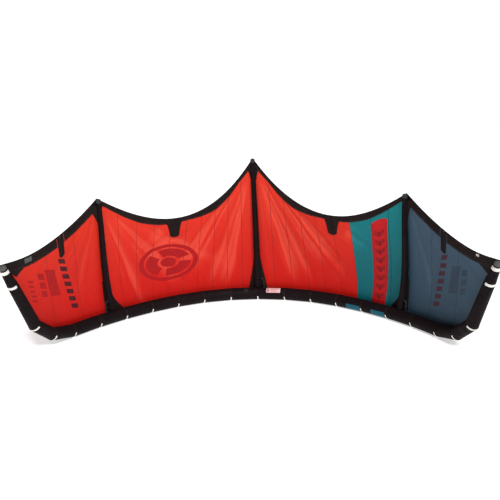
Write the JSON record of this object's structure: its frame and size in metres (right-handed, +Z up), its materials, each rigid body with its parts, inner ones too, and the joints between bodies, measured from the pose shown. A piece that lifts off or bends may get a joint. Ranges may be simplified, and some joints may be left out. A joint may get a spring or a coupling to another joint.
{
  "type": "kitesurf kite",
  "caption": "Arched inflatable kite wing with a tubular leading edge, struts, cloth canopy, inflation valve and hoses, standing on its leading edge.",
  "frame": {"origin": "middle of the bounding box, at the ground the leading edge stands on", "axes": "+X along the span to the right seen from the hollow side, +Y towards the back of the arch, +Z up from the leading edge to the trailing edge"},
  "size_m": [5.6652, 2.7432, 2.2614],
  "materials": {
    "dacron_black": "satin woven polyester",
    "bladder_film": "thin airtight film",
    "fabric_grey": "matt",
    "ripstop_red": "satin ripstop",
    "ripstop_teal": "satin ripstop",
    "ripstop_slate": "satin ripstop",
    "print_red": "satin",
    "reinforcement_black": "satin",
    "batten_white": "smooth",
    "webbing_white": "coarse weave",
    "rubber_black": "matt",
    "plastic_grey": "moulded",
    "plastic_dark": "moulded",
    "flap_silicone": "soft",
    "pin_steel": "plain",
    "hose_clear": "satin",
    "label_pink": "printed label cloth",
    "patch_teal": "matt",
    "webbing_black": "webbing"
  },
  "bodies": {
    "wing": {"le_sleeve_left_tip": "dacron_black", "le_sleeve_left_inner": "dacron_black", "le_sleeve_right_inner": "dacron_black", "le_sleeve_right_tip": "dacron_black", "le_bladder": "bladder_film", "strut_sleeve_left": "dacron_black", "strut_sleeve_centre": "dacron_black", "strut_sleeve_right": "dacron_black", "strut_bladder_left": "bladder_film", "strut_bladder_centre": "bladder_film", "strut_bladder_right": "bladder_film", "strut_tip_cap_left": "fabric_grey", "strut_tip_cap_centre": "fabric_grey", "strut_tip_cap_right": "fabric_grey", "canopy_left_tip": "ripstop_red", "canopy_left_inner": "ripstop_red", "canopy_right_inner": "ripstop_red", "canopy_teal_panels": "ripstop_teal", "canopy_right_tip": "ripstop_slate", "accent_stripe": "print_red", "te_band_left_tip": "reinforcement_black", "te_band_left_inner": "reinforcement_black", "te_band_right_inner": "reinforcement_black", "te_band_right_tip": "reinforcement_black", "batten_pocket_left_tip": "reinforcement_black", "batten_pocket_left_inner": "reinforcement_black", "batten_pocket_right_inner": "reinforcement_black", "batten_pocket_right_tip": "reinforcement_black", "battens": "batten_white", "tip_patch_left": "reinforcement_black", "tip_patch_right": "reinforcement_black", "strut_gusset_left": "reinforcement_black", "strut_gusset_centre": "reinforcement_black", "strut_gusset_right": "reinforcement_black", "seam_guards": "webbing_white", "tip_webbing": "webbing_white", "tip_end_cap_left": "fabric_grey", "tip_end_cap_right": "fabric_grey", "valve_saddle": "rubber_black", "valve_body": "plastic_grey", "valve_cap_pin": "pin_steel", "hose_left": "hose_clear", "hose_centre": "hose_clear", "hose_right": "hose_clear", "hose_fittings": "plastic_grey", "clip_body_left": "plastic_grey", "clip_body_centre": "plastic_grey", "clip_body_right": "plastic_grey", "care_label": "label_pink", "edge_patches": "patch_teal", "pump_leash_loop": "webbing_black", "tip_loops_left": "webbing_black", "tip_loops_right": "webbing_black", "bridle_tabs": "webbing_black"},
    "valve_cap": {"valve_cap": "plastic_dark"},
    "valve_flap": {"valve_flap": "flap_silicone"},
    "clip_jaw_left": {"clip_jaw_left": "plastic_dark"},
    "clip_jaw_centre": {"clip_jaw_centre": "plastic_dark"},
    "clip_jaw_right": {"clip_jaw_right": "plastic_dark"}
  },
  "joints": [
    {"name": "valve_cap_hinge", "type": "hinge", "parent": "wing", "child": "valve_cap", "pos_m": [-0.20927, 1.1824, 0.17045], "axis": [0.0713, -0.7165, -0.694], "range_deg": [0, 150]},
    {"name": "valve_flap_hinge", "type": "hinge", "parent": "wing", "child": "valve_flap", "pos_m": [-0.16588, 1.21223, 0.14412], "axis": [0.0713, -0.7165, -0.694], "range_deg": [0, 60], "stiffness_Nm_per_rad": 0.02, "springref_deg": -17.19},
    {"name": "clip_jaw_left_hinge", "type": "hinge", "parent": "wing", "child": "clip_jaw_left", "pos_m": [-2.10946, 0.1306, 0.24494], "axis": [0, 0.2079, -0.9781], "range_deg": [0, 110]},
    {"name": "clip_jaw_centre_hinge", "type": "hinge", "parent": "wing", "child": "clip_jaw_centre", "pos_m": [0.117, 1.25636, 0.26525], "axis": [0, -0.2079, 0.9781], "range_deg": [0, 110]},
    {"name": "clip_jaw_right_hinge", "type": "hinge", "parent": "wing", "child": "clip_jaw_right", "pos_m": [2.10946, 0.1306, 0.24494], "axis": [0, -0.2079, 0.9781], "range_deg": [0, 110]}
  ]
}
